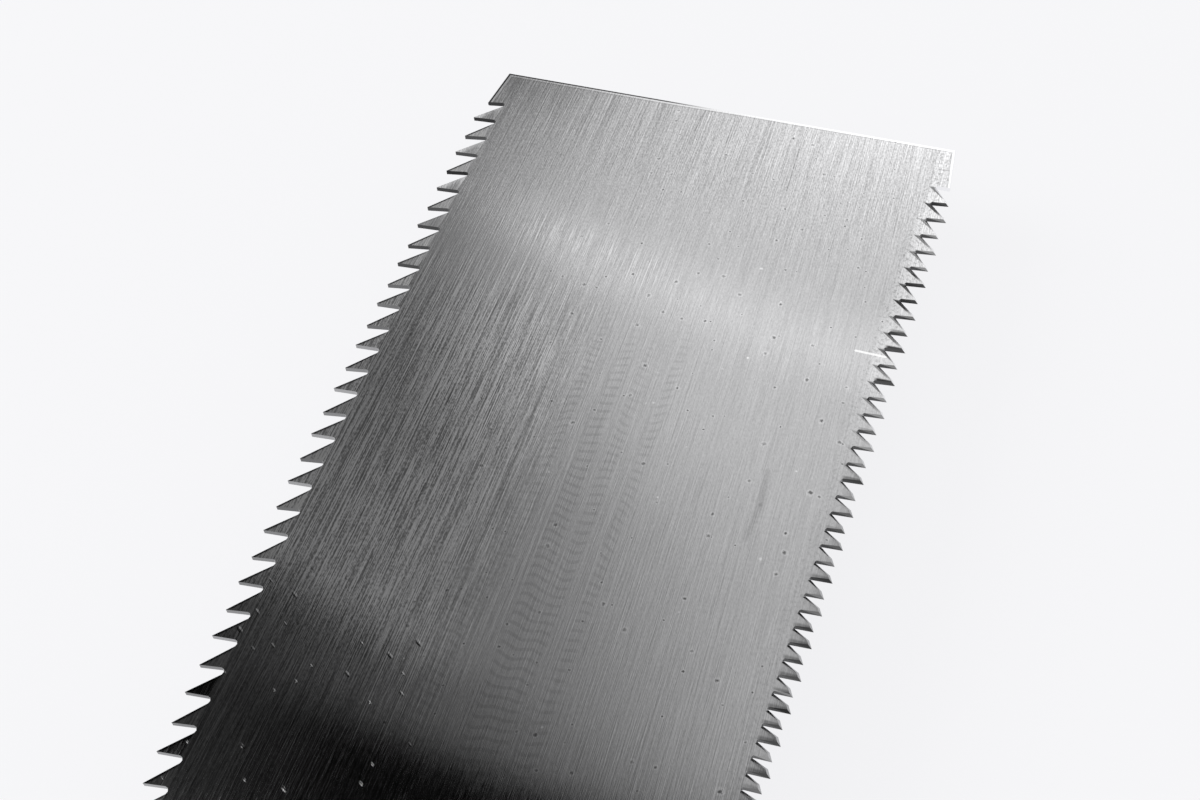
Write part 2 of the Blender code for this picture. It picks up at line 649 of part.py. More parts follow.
def make_collars():
    """The ferrule grips the front of the core and, like the rear collar, covers one turn of cane."""
    nose, skirt = -HANDLE_X, -GRIP_X + FERRULE_SKIRT
    edge = COLLAR_ROUND
    ferrule = [(GRIP_RADIUS + FIT, nose), (COLLAR_OUTER - edge, nose), (COLLAR_OUTER, nose + edge),
               (COLLAR_OUTER, skirt - edge), (COLLAR_OUTER - edge, skirt), (SKIRT_INNER, skirt),
               (SKIRT_INNER, -GRIP_X), (GRIP_RADIUS + FIT, -GRIP_X)]
    ferrule_mesh = turned(ferrule, HANDLE_STEPS, True, move=along_handle())
    place("front_ferrule", ferrule_mesh, COLLAR_STEEL, smooth=True)
    rear = -REAR_X - FIT
    front = rear - COLLAR_LENGTH
    collar = [(SKIRT_INNER, front), (COLLAR_OUTER - edge, front), (COLLAR_OUTER, front + edge),
              (COLLAR_OUTER, rear - edge), (COLLAR_OUTER - edge, rear), (SKIRT_INNER, rear)]
    collar_mesh = turned(collar, HANDLE_STEPS, True, move=along_handle())
    place("rear_collar", collar_mesh, COLLAR_STEEL, smooth=True)


def make_cane_wrap():
    """One unbroken strip of flat cane, wound from the ferrule to the rear collar."""
    front = -GRIP_X + FIT
    strip = [(CANE_INNER, front), (CANE_OUTER - CANE_CROWN, front), (CANE_OUTER, front + CANE_WIDTH / 2),
             (CANE_OUTER - CANE_CROWN, front + CANE_WIDTH), (CANE_INNER, front + CANE_WIDTH)]
    mesh = turned(strip, CANE_LOOP_POINTS, True, CANE_PITCH, CANE_LOOPS, along_handle())
    place("cane_wrap", mesh, CANE_SKIN, smooth=True)
    print("least gap between turns of cane, mm:", round(least_turn_gap(strip) / MM, 3))


def least_turn_gap(strip):
    """Measured on points: from the rear edge of one turn to the front edge of the next."""
    rear_edge = [Vector((radius, height)) for radius, height in strip[3:]]
    next_edge = [Vector((radius, height + CANE_PITCH)) for radius, height in strip[:2]]
    return min((one - other).length for one in rear_edge for other in next_edge)


def make_butt_cap():
    rim = BUTT_RADIUS - BUTT_ROUND - CAP_STEP
    front, rear = -BUTT_X + FIT, -CAP_X
    spigot_end = -BUTT_X - SPIGOT_LENGTH
    profile = [(0.0, spigot_end), (SPIGOT_RADIUS, spigot_end), (SPIGOT_RADIUS, front), (rim, front)]
    for k in range(ARC_STEPS + 1):
        angle = math.pi / 2 * k / ARC_STEPS
        profile.append((rim - CAP_ROUND * (1 - math.cos(angle)), rear - CAP_ROUND * (1 - math.sin(angle))))
    profile.append((0.0, rear))
    place("butt_cap", turned(profile, HANDLE_STEPS, move=along_handle()), HORN, smooth=True)


clear_scene()
PARTS = collection("ryoba_saw")
CUTTERS = collection("cutters")
STEEL = material("brushed_steel", (0.56, 0.56, 0.57), 0.32, 1.0)
CLAMP_STEEL = material("clamp_steel", (0.42, 0.43, 0.44), 0.38, 1.0)
SCREW_STEEL = material("nickel_plate", (0.62, 0.60, 0.56), 0.25, 1.0)
COLLAR_STEEL = material("blued_steel", (0.10, 0.105, 0.12), 0.35, 1.0)
WOOD = material("cypress", (0.62, 0.43, 0.25), 0.55, 0.0)
CANE_SKIN = material("cane", (0.68, 0.47, 0.22), 0.42, 0.0)
HORN = material("black_horn", (0.03, 0.028, 0.026), 0.3, 0.0)

SAW = bpy.data.objects.new("saw_axis", None)
SAW.location = (MOUTH_X, 0.0, BLADE_HEIGHT)
PARTS.objects.link(SAW)

make_blade()
make_cheeks()
make_spacers()
make_rivets()
make_lock_screw()
make_washer_and_nut()
make_handle_core()
make_handle_pins()
make_collars()
make_cane_wrap()
make_butt_cap()
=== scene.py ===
import json
import math

import bmesh
import bpy
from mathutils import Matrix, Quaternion, Vector


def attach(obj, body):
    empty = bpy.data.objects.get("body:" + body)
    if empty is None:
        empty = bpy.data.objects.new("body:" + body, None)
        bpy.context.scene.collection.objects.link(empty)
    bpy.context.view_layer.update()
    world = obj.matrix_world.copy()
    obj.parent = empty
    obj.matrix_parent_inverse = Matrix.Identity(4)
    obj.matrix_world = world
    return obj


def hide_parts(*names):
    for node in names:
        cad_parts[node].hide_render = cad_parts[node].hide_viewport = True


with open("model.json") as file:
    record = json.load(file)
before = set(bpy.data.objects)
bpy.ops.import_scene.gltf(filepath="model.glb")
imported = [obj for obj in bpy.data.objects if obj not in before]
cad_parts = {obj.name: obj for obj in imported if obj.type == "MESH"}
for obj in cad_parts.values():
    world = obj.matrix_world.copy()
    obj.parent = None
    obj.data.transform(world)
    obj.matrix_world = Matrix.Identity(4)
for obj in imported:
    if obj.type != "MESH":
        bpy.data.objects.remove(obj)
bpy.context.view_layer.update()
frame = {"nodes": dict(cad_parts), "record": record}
scene = bpy.context.scene
scene.view_settings.view_transform = 'Standard'
mm = 0.001
weld = 0.002 * mm  # points closer than this are merged


class Wire:
    # a node socket that can be written in sums, such as 1 - mask * 0.5
    def __init__(self, tree, socket=None):
        self.tree = tree
        self.socket = socket

    def node(self, kind, settings, inputs, out=0):
        made = self.tree.nodes.new(kind)
        for name, value in settings.items():
            setattr(made, name, value)
        for name, value in inputs.items():
            if isinstance(value, Wire):
                self.tree.links.new(value.socket, made.inputs[name])
            else:
                made.inputs[name].default_value = value
        return Wire(self.tree, made.outputs[out] if made.outputs else None)

    def maths(self, operation, *values):
        return self.node("ShaderNodeMath", {"operation": operation}, dict(enumerate(values)))

    def __add__(self, other):
        return self.maths("ADD", self, other)

    def __radd__(self, other):
        return self.maths("ADD", other, self)

    def __sub__(self, other):
        return self.maths("SUBTRACT", self, other)

    def __rsub__(self, other):
        return self.maths("SUBTRACT", other, self)

    def __mul__(self, other):
        return self.maths("MULTIPLY", self, other)

    def __rmul__(self, other):
        return self.maths("MULTIPLY", other, self)

    def __truediv__(self, other):
        return self.maths("DIVIDE", self, other)

    def __pow__(self, other):
        return self.maths("POWER", self, other)

    def least(self, other):
        return self.maths("MINIMUM", self, other)

    def most(self, other):
        return self.maths("MAXIMUM", self, other)

    def above(self, limit):
        return self.maths("GREATER_THAN", self, limit)

    def below(self, limit):
        return self.maths("LESS_THAN", self, limit)

    def absolute(self):
        return self.maths("ABSOLUTE", self)

    def fraction(self):
        return self.maths("FRACT", self)

    def roundedUp(self):
        return self.maths("CEIL", self)

    def sine(self):
        return self.maths("SINE", self)

    def angle(self, other):
        return self.maths("ARCTAN2", self, other)

    def rise(self, low, high):
        # 0 below low, 1 above high, soft between; low above high turns it round
        return self.node("ShaderNodeMapRange", {"interpolation_type": "SMOOTHSTEP"},
                         {"Value": self, "From Min": low, "From Max": high})

    def window(self, start, full, fade, end):
        # rises from start to full and falls again from fade to end
        return self.rise(start, full) * self.rise(end, fade)

    def between(self, first, second):
        # from the first value to the second as this goes from 0 to 1
        return first + (second - first) * self

    def blend(self, first, second):
        # the same for two colours
        return self.node("ShaderNodeMix", {"data_type": 'RGBA'}, {0: self, 6: first, 7: second}, 2)

    def axes(self):
        split = self.node("ShaderNodeSeparateXYZ", {}, {"Vector": self}).socket.node
        return [Wire(self.tree, side) for side in split.outputs]

    def noise(self, stretch, detail=2.0, rough=0.5, shift=(0.0, 0.0, 0.0), turn=0.0):
        # stretch is how many grains there are to a metre along each axis
        place = self.node("ShaderNodeMapping", {"vector_type": 'TEXTURE'},
                          {"Vector": self, "Location": shift, "Rotation": (0.0, 0.0, turn)})
        place = place.node("ShaderNodeVectorMath", {"operation": 'MULTIPLY'}, {0: place, 1: stretch})
        return place.node("ShaderNodeTexNoise", {},
                          {"Vector": place, "Scale": 1.0, "Detail": detail, "Roughness": rough})


def newFinish(name, constants):
    material = bpy.data.materials.new(name)
    material.use_nodes = True
    tree = material.node_tree
    shader = tree.nodes["Principled BSDF"]
    for socket, value in constants.items():
        shader.inputs[socket].default_value = value
    place = Wire(tree).node("ShaderNodeTexCoord", {}, {}, "Object")
    return material, shader, place


def feed(shader, wires):
    for socket, wire in wires.items():
        wire.tree.links.new(wire.socket, shader.inputs[socket])


def bump(height, depth):
    return height.node("ShaderNodeBump", {}, {"Strength": 1.0, "Distance": depth, "Height": height})


def steelColour(tone, blue):
    return tone.node("ShaderNodeCombineColor", {}, {"Red": tone, "Green": tone, "Blue": tone * blue})


def grey(level, warm=0.0):
    return (level * (1 + warm), level, level * (1 - warm), 1.0)


# Camera at the photograph's angle
view = {
    "place": (0.106063, -0.035528, 0.136620),
    "aim": (0.199173, 0.000876, 0.0147),
    "roll": -4.82,  # degrees
    "lens": 42.0,  # mm
    "sensor": 36.0,
    "nearest": 0.005,
    "frame": (1200, 800),
}


def makeCamera():
    lens = bpy.data.cameras.new("photoCamera")
    lens.lens = view["lens"]
    lens.sensor_width = view["sensor"]
    lens.clip_start = view["nearest"]
    camera = bpy.data.objects.new("photoCamera", lens)
    place, aim = Vector(view["place"]), Vector(view["aim"])
    turn = (aim - place).to_track_quat('-Z', 'Y')
    roll = Quaternion((0.0, 0.0, 1.0), math.radians(view["roll"]))
    camera.rotation_mode = 'QUATERNION'
    camera.rotation_quaternion = turn @ roll
    camera.location = place
    scene.collection.objects.link(camera)
    scene.camera = camera
    bpy.context.view_layer.update()
    return camera


def framed(camera, point):
    # where a point falls in the photograph's frame
    seen = camera.matrix_world.inverted() @ Vector(point)
    wide, high = view["frame"]
    scale = view["lens"] / view["sensor"] * wide / seen.z
    return round(wide / 2 - scale * seen.x, 1), round(high / 2 + scale * seen.y, 1)


# Pale floor: part of its tone is glow, so the shadow on it stays faint
floorLook = {
    "half": 5.0,
    "tone": (0.86, 0.86, 0.87, 1.0),
    "glowTone": (0.945, 0.945, 0.963, 1.0),
    "glowShare": 0.84,
}


def makeFloor():
    bm = bmesh.new()
    bmesh.ops.create_grid(bm, x_segments=1, y_segments=1, size=floorLook["half"])
    mesh = bpy.data.meshes.new("floor")
    bm.to_mesh(mesh)
    bm.free()
    floor = bpy.data.objects.new("floor", mesh)
    scene.collection.objects.link(floor)
    material = bpy.data.materials.new("floorPaper")
    material.use_nodes = True
    tree = material.node_tree
    tree.nodes.clear()
    start = Wire(tree)
    rays = start.node("ShaderNodeLightPath", {}, {}).socket.node
    direct, mirrored, through = (Wire(tree, rays.outputs[name]) for name in
                                 ("Is Camera Ray", "Is Glossy Ray", "Is Transmission Ray"))
    share = direct.most(mirrored).most(through) * floorLook["glowShare"]
    paper = start.node("ShaderNodeBsdfDiffuse", {}, {"Color": floorLook["tone"]})
    glow = start.node("ShaderNodeEmission", {}, {"Color": floorLook["glowTone"], "Strength": 1.0})
    both = start.node("ShaderNodeMixShader", {}, {0: share, 1: paper, 2: glow})
    start.node("ShaderNodeOutputMaterial", {}, {"Surface": both})
    mesh.materials.append(material)


# Studio light by direction: ahead is its share along the blade, lean its degrees from upright to the
# rip side. A bright wall stands past the toe, with a seam and darker light above it. Round these the light
# is plain, with a pale horizon and a soft ceiling behind the handle
studio = {
    "wall": {"tone": (0.637, 0.81), "ahead": (0.5, 0.635), "edge": 0.32, "slant": 71.4, "soft": 10.9},
    "shade": {"tone": (0.216, 0.184), "ahead": (0.48, 0.538), "lean": (22.0, 29.0), "loss": 0.25},
    "seam": {"gain": (0.3, 0.62), "lean": (15.0, 22.0), "middle": 15.0, "slope": 0.0001,
             "start": (0.63, 0.649), "startLean": (9.0, 17.0), "full": 0.661, "fade": 0.662, "end": 0.682,
             "side": (26.0, 23.8)},
    "foot": {"gain": (0.157, -0.659), "lean": (5.5, 34.0), "ahead": (0.665, 0.786)},
    "footEnd": {"gain": (0.29, -1.88), "lean": (23.0, 31.0), "start": 0.66, "steep": 10.0, "power": 4},
    "footLeast": 0.4,
    "footGlow": {"gain": 0.05, "ahead": (0.64, 0.72)},
    "dusk": {"share": (0.85, 0.27), "lean": (10.0, 25.0), "slope": -0.0012, "ahead": (0.39, 0.422)},
    "dark": {"share": (0.02, 0.71), "lean": (21.0, 27.0), "slope": 0.0003, "ahead": (0.342, 0.372)},
    "levelLean": 20.0,  # where the edges of dusk and dark are measured
    "plain": {"tone": 0.55, "above": (0.345, 0.395), "aboveSlope": 0.0059, "below": (0.88, 0.8),
              "cutSide": (-14.0, -4.0), "ripSide": (46.0, 38.0), "narrow": 9.0, "narrowAhead": (0.5, 0.66)},
    "ceiling": {"tone": (0.8, 1.2), "up": (0.72, 0.96), "ahead": (0.16, -0.02)},
    "horizon": {"tone": 0.93, "up": (0.56, 0.36)},
    "lampWatts": 9.0,
    "lampPlace": (-0.25, 1.3, 1.05),
    "lampSize": 0.9,
}


def wallLight(ahead, lean):
    wall, shade, seam = studio["wall"], studio["shade"], studio["seam"]
    shaded = ahead.rise(*shade["ahead"]).between(*shade["tone"])
    shaded = shaded * (1 - lean.rise(*shade["lean"]) * shade["loss"])
    lit = ((ahead - wall["edge"]) * wall["slant"] - lean).rise(-wall["soft"], wall["soft"])
    light = lit.between(shaded, ahead.rise(*wall["ahead"]).between(*wall["tone"]))
    across = ahead + (lean - seam["middle"]) * seam["slope"]
    start = lean.rise(*seam["startLean"]).between(*seam["start"])
    streak = across.window(start, seam["full"], seam["fade"], seam["end"]) * lean.rise(*seam["side"])
    light = light * (1 + streak * lean.rise(*seam["lean"]).between(*seam["gain"]))
    # towards the foot of the wall
    foot, footEnd, glow = studio["foot"], studio["footEnd"], studio["footGlow"]
    steep = ((ahead - footEnd["start"]) * footEnd["steep"]).most(0.0) ** footEnd["power"]
    change = ahead.rise(*foot["ahead"]) * lean.rise(*foot["lean"]).between(*foot["gain"])
    change = change + steep * lean.rise(*footEnd["lean"]).between(*footEnd["gain"])
    light = light * (1 + ahead.rise(*glow["ahead"]) * glow["gain"]) * (1 + change).most(studio["footLeast"])
    # above the wall
    for level in (studio["dusk"], studio["dark"]):
        share = lean.rise(*level["lean"]).between(*level["share"])
        edge = (ahead + (lean - studio["levelLean"]) * level["slope"]).rise(*level["ahead"])
        light = light * edge.between(share, 1.0)
    return light


def makeStudio():
    world = bpy.data.worlds.new("studio")
    scene.world = world
    world.use_nodes = True
    tree = world.node_tree
    tree.nodes.clear()
    ahead, aside, up = Wire(tree).node("ShaderNodeTexCoord", {}, {}, "Generated").axes()
    lean = aside.angle(up) * (180 / math.pi)
    plain, ceiling, horizon = studio["plain"], studio["ceiling"], studio["horizon"]
    within = (ahead + lean * plain["aboveSlope"]).rise(*plain["above"]) * ahead.rise(*plain["below"])
    narrowed = lean + ahead.rise(*plain["narrowAhead"]) * plain["narrow"]
    within = within * lean.rise(*plain["cutSide"]) * narrowed.rise(*plain["ripSide"])
    light = within.between(plain["tone"], wallLight(ahead, lean))
    light = ahead.rise(*ceiling["ahead"]).between(light, up.rise(*ceiling["up"]).between(*ceiling["tone"]))
    light = up.rise(*horizon["up"]).between(light, horizon["tone"])
    back = light.node("ShaderNodeBackground", {}, {"Color": light, "Strength": 1.0})
    back.node("ShaderNodeOutputWorld", {}, {"Surface": back})

    lamp = bpy.data.lights.new("softLamp", 'AREA')
    lamp.energy = studio["lampWatts"]
    lamp.size = studio["lampSize"]
    holder = bpy.data.objects.new("softLamp", lamp)
    holder.location = studio["lampPlace"]
    holder.rotation_euler = (-holder.location).to_track_quat('-Z', 'Y').to_euler()
    holder.visible_glossy = False  # the blade would mirror it as a white patch
    scene.collection.objects.link(holder)


# Blade: ground lengthwise. Lengths are in mm: x and y on the plate, along from the toe, depth from the
# line of the tooth points. Of the limits, two numbers are where a mark begins and is full, and four where
# it also fades and ends. Tones, gains and losses go from the first number to the second
bladeLook = {
    "tone": 0.62, "brightest": 0.95, "blue": 1.012,
    "rough": 0.052, "lineRough": 0.06, "filedRough": 0.2,
    "toe": 251.55,
    "toeSkew": 0.021,  # mm along for each mm across
    "corner": (0.65, 31.05, 14.7),  # of the toe: along, across and up
    "half": 32.6, "taper": 0.055, "toothed": 180.0,
    "rip": {"land": 6.05, "bow": 1.8, "pitch": 3.67, "grade": -0.0049444, "graded": 180.0},
    "cut": {"land": 8.0, "bow": 0.2, "pitch": 3.22, "grade": -0.0174194, "graded": 93.0},
    "landDepth": (0.75, 0.8),  # at the first gullet, and more at the toe corner
    "cutDepth": (2.8, -0.0077),  # of the crosscut teeth at the toe, and its change with along
    "zones": {  # depth or how level the face is, then along
        "ripTeeth": ((3.0, 2.4), (6.0, 7.0)),
        "cutTeeth": ((6.0, 5.0), (8.0, 8.2)),
        "chamfer": ((0.97, 0.85), (8.3, 8.1)),
        "heel": (40.0, 62.0),
        "nearToe": (34.0, 8.0),
        "darkRakes": (26.0, 34.0),
    },
    "lines": {  # grains to a metre along and across, detail, roughness, turn
        "long": (18.0, 3900.0, 2.0, 0.65, 0.02),
        "short": (150.0, 5600.0, 2.0, 0.75, 0.0),
        "thin": (30.0, 8600.0, 1.0, 0.5, 0.01),
        "hair": (800.0, 9500.0, 1.0, 0.6, 0.03),
        "grain": (2600.0, 4600.0, 1.0, 0.5, 0.1),
        "wide": (10.0, 420.0, 2.0, 0.5, -0.01),
    },
    "strength": {  # everywhere, more on the rip side, more near the toe
        "long": (0.35, 2.2, 0.0),
        "short": (0.75, 2.7, 0.5),
        "thin": (0.3, 2.2, 1.3),
        "hair": (0.3, 1.0, 0.8),
        "grain": (0.5, 2.0, 0.8),
    },
    "darkest": -0.5,  # limit of the dark lines
    "wideStrength": (0.12, 0.04),  # everywhere, near the toe
    # painted glints on the palest grinding lines
    "glints": (  # lines, from, to, gain
        ("short", 0.56, 0.72, 1.5), ("thin", 0.6, 0.74, 1.7),
        ("long", 0.6, 0.74, 0.5), ("short", 0.43, 0.27, -0.25),
    ),
    "ripSide": {"y": (0.0, 17.0), "along": (30.0, 52.0), "x": (155.0, 168.0), "least": 0.45,
                "lines": (0.7, 0.9), "glint": 1.1},
    # painted highlight: a band of glittering streaks across the blade
    "crest": {"x": 219.7, "slant": 0.27, "across": (-4.5, -0.5, 0.5, 4.0), "y": (-9.0, 3.0, 15.0, 21.0),
              "thin": (0.5, 0.72), "short": (0.5, 0.7), "level": 0.35, "gain": 0.3},
    "chatter": {"x": (148.0, 158.0, 204.0, 216.0), "y": (-10.0, -5.0, 5.0, 10.0), "loss": 0.16,
                "ladders": (9.0, 420.0, 0.0), "ladder": (0.46, 0.6), "grain": (0.25, 0.5),
                "ticks": 5.5, "tick": (0.1, 0.9), "stagger": (60.0, 330.0, 0.0), "staggered": 14.0},
    # coarse and fine spots: cells to a metre, and the share of them that is kept
    "ragged": (4200.0, 4200.0, 0.0), "patches": (900.0, 900.0, 0.0), "patchy": (0.3, 0.7),
    "pits": {"coarse": (120.0, 0.2), "fine": (380.0, 0.3), "finer": 0.03, "ragged": 0.3, "y": (20.0, 6.0),
             "edge": (0.22, 0.1), "loss": (0.35, 0.7), "rim": (0.2, 0.25, 0.28, 0.4), "rimGain": 0.1},
    "specks": {"coarse": (160.0, 0.12), "fine": (420.0, 0.05), "finer": 0.0, "ragged": 0.2,
               "edge": (0.2, 0.06), "gain": 0.4},
    "scratches": (  # x, y, x, y, half width, change of tone
        (213.8, -25.2, 213.7, -28.7, 0.13, 0.7),
        (194.6, -19.5, 190.0, -19.8, 0.3, -0.09),
        (190.0, -19.8, 185.3, -19.3, 0.3, -0.09),
        (250.4, -11.3, 238.0, -11.7, 0.07, -0.2),
        (251.0, -1.8, 245.1, -2.0, 0.07, -0.16),
        (250.8, 2.4, 246.4, 2.7, 0.07, -0.16),
    ),
    "nicks": {"cells": (420.0, 0.75), "turn": -0.64, "stretch": 2.6, "edge": (0.18, 0.0),
              "x": (172.0, 166.0), "y": (4.0, 9.0), "relief": 1.1},
    "mottle": {"grains": (2600.0, 2600.0, 0.0), "edge": (0.5, 0.64), "depth": (0.6, 2.0, 3.4, 4.6),
               "loss": (0.32, 0.12), "along": (25.0, 55.0)},
    "pale": {"depth": (4.2, 2.2), "along": (62.0, 20.0), "gain": (0.14, 0.36), "gainAlong": (5.0, 11.0)},
    # painted highlight and painted shade along the toe and the lands
    "rim": {"inner": (0.46, 0.66), "y": (-4.0, 8.0), "soft": 0.06, "groove": (0.14, 0.26), "loss": 0.22,
            "pale": (0.9, 0.8), "paleY": (-6.0, 4.0), "cutSide": 0.1},
    "hairline": {"inside": (0.42, 0.3), "y": (0.0, 9.0), "tone": 0.08},
    # painted light on the chamfers: dark on the rip side, pale on the crosscut side
    "chamfer": {"tone": (0.05, 0.95), "y": (12.0, -4.0)},
    # painted shade on the flats of the crosscut teeth
    "crosscut": {"wedge": (1.05, 0.3), "soft": 0.15, "part": (0.05, 0.14, 0.5, 0.9), "atHeel": 0.15,
                 "chance": (0.6, 1.0), "rake": (0.6, 0.3), "rakeDepth": (2.6, 2.0), "loss": (0.95, 0.45),
                 "worn": (2.2, 0.4), "wornLoss": (0.2, 0.5)},
    # painted light and shade on the flats of the rip teeth
    "ripFlats": {"slope": 0.94, "tone": (-0.15, 0.55), "back": (0.5, 0.25), "backLoss": 0.85,
                 "odd": 0.9, "oddAlong": (24.0, 40.0),
                 "base": (0.7, 2.0), "baseAlong": (42.0, 26.0), "baseLoss": 0.3,
                 "gleam": (1.1, 0.3), "gleamAlong": (34.0, 20.0), "gleamGain": 0.45},
    # painted shade and highlights on the filed faces of the teeth
    "filed": {"level": (0.97, 0.9), "tone": (0.03, 0.1), "rake": (0.1, 0.3), "rakeGain": 0.3,
              "back": (0.3, 0.6), "backGain": (0.75, 0.35),
              "ripY": (15.0, 20.0), "ripAlong": (36.0, 50.0), "ripGain": (0.12, 0.32)},
    "bent": {"depth": 2.6, "toe": (45.0, 15.0), "land": (6.0, 6.4), "relief": 4.5},
    "relief": {"long": 0.6, "short": 0.7, "hair": 0.3},
    "reliefDepth": 9e-6,  # metres
}
away = 50.0  # mm, too far to show
cutNumbers = 500  # the crosscut teeth are counted on from here


def toothLine(along, edge):
    # from the blade's middle to the line of the tooth points
    bulge = along * (bladeLook["toothed"] - along) * (4 * edge["bow"] / bladeLook["toothed"] ** 2)
    return bladeLook["half"] - along * bladeLook["taper"] + bulge


def toothCount(along, edge):
    # whole numbers fall on the tooth points, whose pitch shrinks evenly with the distance from the toe
    graded = along.least(edge["graded"])
    share = (edge["pitch"] + graded * edge["grade"]) / (edge["pitch"] + edge["land"] * edge["grade"])
    last = edge["pitch"] + edge["graded"] * edge["grade"]
    return share.maths("LOGARITHM", share, 1 + edge["grade"]) + (along - edge["graded"]).most(0.0) / last


def scattered(place, cells, keep):
    # distance in mm from scattered points, a share of which is kept; the smaller ones seem further off
    spots = place.node("ShaderNodeTexVoronoi", {"voronoi_dimensions": '2D'},
                       {"Vector": place, "Scale": cells})
    chance, size, _ = Wire(place.tree, spots.socket.node.outputs["Color"]).axes()
    return spots * (0.7 + size) * (1000.0 / cells) + chance.above(keep) * away


def fromScratch(at, line):
    # distance in mm from a straight scratch, also past its ends
    fromX, fromY, toX, toY = line
    length = math.hypot(toX - fromX, toY - fromY)
    headX, headY = (toX - fromX) / length, (toY - fromY) / length
    run = (at.x - fromX) * headX + (at.y - fromY) * headY
    side = ((at.y - fromY) * headX - (at.x - fromX) * headY).absolute()
    return side + (run - length).most(0.0 - run).most(0.0)


class BladeSpot:
    # where a point lies on the blade, and on which tooth
    def __init__(self, place):
        zones = bladeLook["zones"]
        self.place = place
        self.x, self.y = (side * 1000 for side in place.axes()[:2])
        self.along = bladeLook["toe"] - self.x
        self.ripDepth = toothLine(self.along, bladeLook["rip"]) - self.y
        self.cutDepth = toothLine(self.along, bladeLook["cut"]) + self.y
        self.ripTooth, self.cutTooth = (toothCount(self.along, bladeLook[edge]) for edge in ("rip", "cut"))
        facing = Wire(place.tree).node("ShaderNodeTexCoord", {}, {}, "Normal").axes()
        self.level = facing[2].absolute()
        self.back = facing[0].rise(-0.1, 0.1)  # faces that look to the toe
        self.even = (self.ripTooth * 0.5).fraction().rise(0.49, 0.51)  # every other rip tooth
        self.onRip = self.zone(self.ripDepth, *zones["ripTeeth"])
        self.onCut = self.zone(self.cutDepth, *zones["cutTeeth"])
        self.chamfer = self.zone(self.level, *zones["chamfer"])
        self.filed = self.level.rise(*bladeLook["filed"]["level"]) * (1 - self.chamfer)
        self.heel = self.along.rise(*zones["heel"])
        self.nearToe = self.along.rise(*zones["nearToe"])
        number = self.ripTooth.roundedUp() + self.y.below(0.0) * (cutNumbers + self.cutTooth.roundedUp())
        chances = number.node("ShaderNodeTexWhiteNoise", {"noise_dimensions": '1D'}, {"W": number}, "Color")
        self.chance, rakeChance, self.depthChance = chances.axes()
        # teeth whose rake gets painted shade
        self.darkRake = rakeChance.rise(0.5, 0.7) * self.along.rise(*zones["darkRakes"])

    def zone(self, value, limits, alongLimits):
        return value.rise(*limits) * self.along.rise(*alongLimits)


def groundTone(at, lines):
    # grinding lines, strongest on the rip side and crisp near the toe; their palest lines get painted glints
    rip, crest = bladeLook["ripSide"], bladeLook["crest"]
    ripSide = at.zone(at.y, rip["y"], rip["along"]) * at.x.rise(*rip["x"]).between(rip["least"], 1.0)
    change = 0.0
    for name, (everywhere, onRipSide, atToe) in bladeLook["strength"].items():
        change = change + (lines[name] - 0.5) * (everywhere + ripSide * onRipSide + at.nearToe * atToe)
    change = change.most(bladeLook["darkest"])
    change = change + (lines["wide"] - 0.5) * at.nearToe.between(*bladeLook["wideStrength"])
    # painted glints: the palest grinding lines made paler still, most on the rip side
    glint = 0.0
    for name, low, high, gain in bladeLook["glints"]:
        glint = glint + lines[name].rise(low, high) * gain
    # a painted highlight: a band of glittering streaks across the blade
    band = (at.x - at.y * crest["slant"] - crest["x"]).window(*crest["across"]) * at.y.window(*crest["y"])
    highlightStreaks = lines["thin"].rise(*crest["thin"]) + lines["short"].rise(*crest["short"]) - crest["level"]
    change = change * ripSide.between(*rip["lines"]) + glint * ripSide * rip["glint"]
    change = change + highlightStreaks * band * crest["gain"]
    return (bladeLook["tone"] * (1 + change)).least(bladeLook["brightest"])


def chatterMarks(at, grain):
    # ladders of short ticks across the grinding lines
    look = bladeLook["chatter"]
    ladder = at.place.noise(look["ladders"], 1.0).rise(*look["ladder"])
    tick = at.x * look["ticks"] + at.place.noise(look["stagger"], 1.0) * look["staggered"]
    worn = at.x.window(*look["x"]) * at.y.window(*look["y"])
    return tick.sine().rise(*look["tick"]) * ladder * grain.rise(*look["grain"]) * worn * look["loss"]


def spotted(at, look, ragged):
    # distance from coarse and fine spots together
    fine = scattered(at.place, *look["fine"]) + look["finer"]
    return scattered(at.place, *look["coarse"]).least(fine) + ragged * look["ragged"]


def wornTone(at, tone):
    # pits with a pale rim, pale specks and single scratches
    pits, specks = bladeLook["pits"], bladeLook["specks"]
    ragged = at.place.noise(bladeLook["ragged"], 1.0) - 0.5
    patchy = at.place.noise(bladeLook["patches"], 1.0).rise(*bladeLook["patchy"])
    pit, cutSide = spotted(at, pits, ragged), at.y.rise(*pits["y"])
    tone = tone * (1 - pit.rise(*pits["edge"]) * cutSide * patchy.between(*pits["loss"]))
    tone = tone + pit.window(*pits["rim"]) * cutSide * pits["rimGain"]
    tone = tone + spotted(at, specks, ragged).rise(*specks["edge"]) * patchy * specks["gain"]
    for *line, half, change in bladeLook["scratches"]:
        tone = tone + fromScratch(at, line).rise(half * 1.5, half * 0.5) * change
    # mottled band inside the crosscut gullets, palest at the toe
    mottle, pale = bladeLook["mottle"], bladeLook["pale"]
    paleness = at.zone(at.cutDepth, pale["depth"], pale["along"])
    paleness = paleness * at.along.rise(*pale["gainAlong"]).between(*pale["gain"])
    band = at.cutDepth.window(*mottle["depth"]) * at.along.rise(*mottle["along"]).between(*mottle["loss"])
    mottled = at.place.noise(mottle["grains"], 2.0, 0.6).rise(*mottle["edge"])
    return tone * (1 + paleness) * (1 - band * mottled)


def nickMarks(at):
    # short slanting marks on the rip side, towards the heel
    look = bladeLook["nicks"]
    aslant = at.place.node("ShaderNodeMapping", {"vector_type": 'TEXTURE'},
                           {"Vector": at.place, "Rotation": (0.0, 0.0, look["turn"]),
                            "Scale": (1.0, look["stretch"], 1.0)})
    marks = scattered(aslant, *look["cells"]).rise(*look["edge"])
    return marks * at.x.rise(*look["x"]) * at.y.rise(*look["y"]) * look["relief"]


